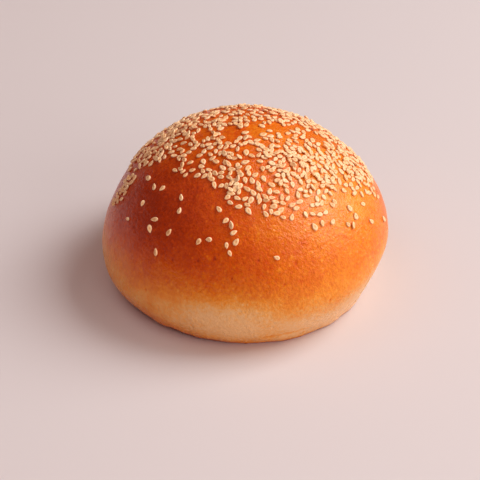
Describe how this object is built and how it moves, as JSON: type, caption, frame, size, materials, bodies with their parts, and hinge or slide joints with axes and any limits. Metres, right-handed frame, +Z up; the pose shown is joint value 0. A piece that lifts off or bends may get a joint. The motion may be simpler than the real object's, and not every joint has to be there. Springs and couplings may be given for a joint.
{
  "type": "bread roll",
  "caption": "Round seeded bread roll with a domed, glossy browned crust, a tucked-in pale flank and a flat base, to be served or filled as food.",
  "frame": {"origin": "centre of the footprint's box, on the plane that the base rests on", "axes": "+Z is up through the crown; the side that the record calls the front faces -Y, and +X is on its right"},
  "size_m": [0.1072, 0.1072, 0.0622],
  "materials": {
    "crust": "egg-washed baked crust, orange-brown and softly glossy on the crown, paler tan low on the flank, finely dimpled",
    "sesame": "hulled sesame seed, cream to light toasted tan, satin"
  },
  "bodies": {
    "root": {"bread_roll": "crust"}
  },
  "joints": []
}
